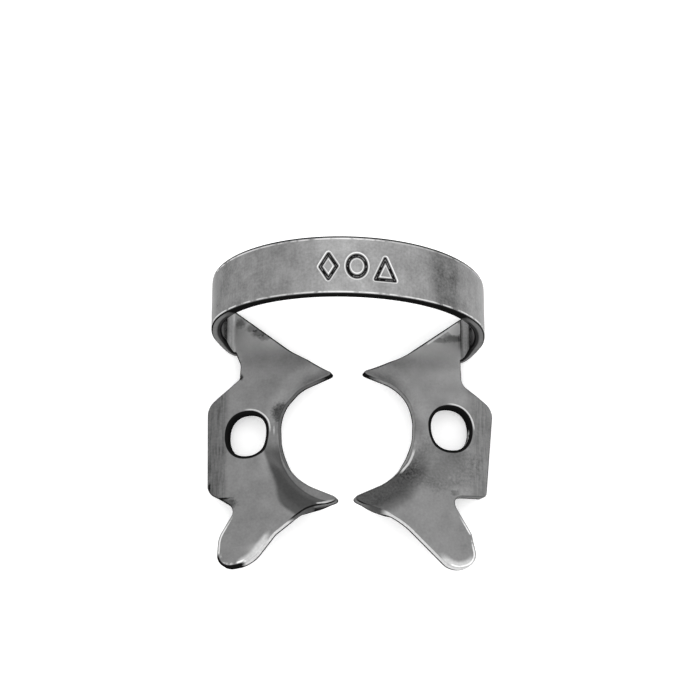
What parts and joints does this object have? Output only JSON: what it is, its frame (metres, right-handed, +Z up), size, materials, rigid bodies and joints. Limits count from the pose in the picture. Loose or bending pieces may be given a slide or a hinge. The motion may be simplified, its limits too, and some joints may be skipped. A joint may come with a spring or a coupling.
{
  "type": "rubber dam clamp",
  "caption": "Spring-steel dental clamp: an arched bow joins facing jaws with pointed prongs, holed wings and rounded front lobes, to hold a rubber sheet round a molar.",
  "frame": {"origin": "centre of the bounding box on the plane the clamp rests on", "axes": "+X from the left jaw to the right jaw, +Y from the front lobes to the bow, +Z up from the table through the bow"},
  "size_m": [0.0252, 0.0262, 0.0159],
  "materials": {
    "spring_steel": "tumbled grey spring steel with soft edges"
  },
  "bodies": {
    "root": {"clamp": "spring_steel"}
  },
  "joints": []
}
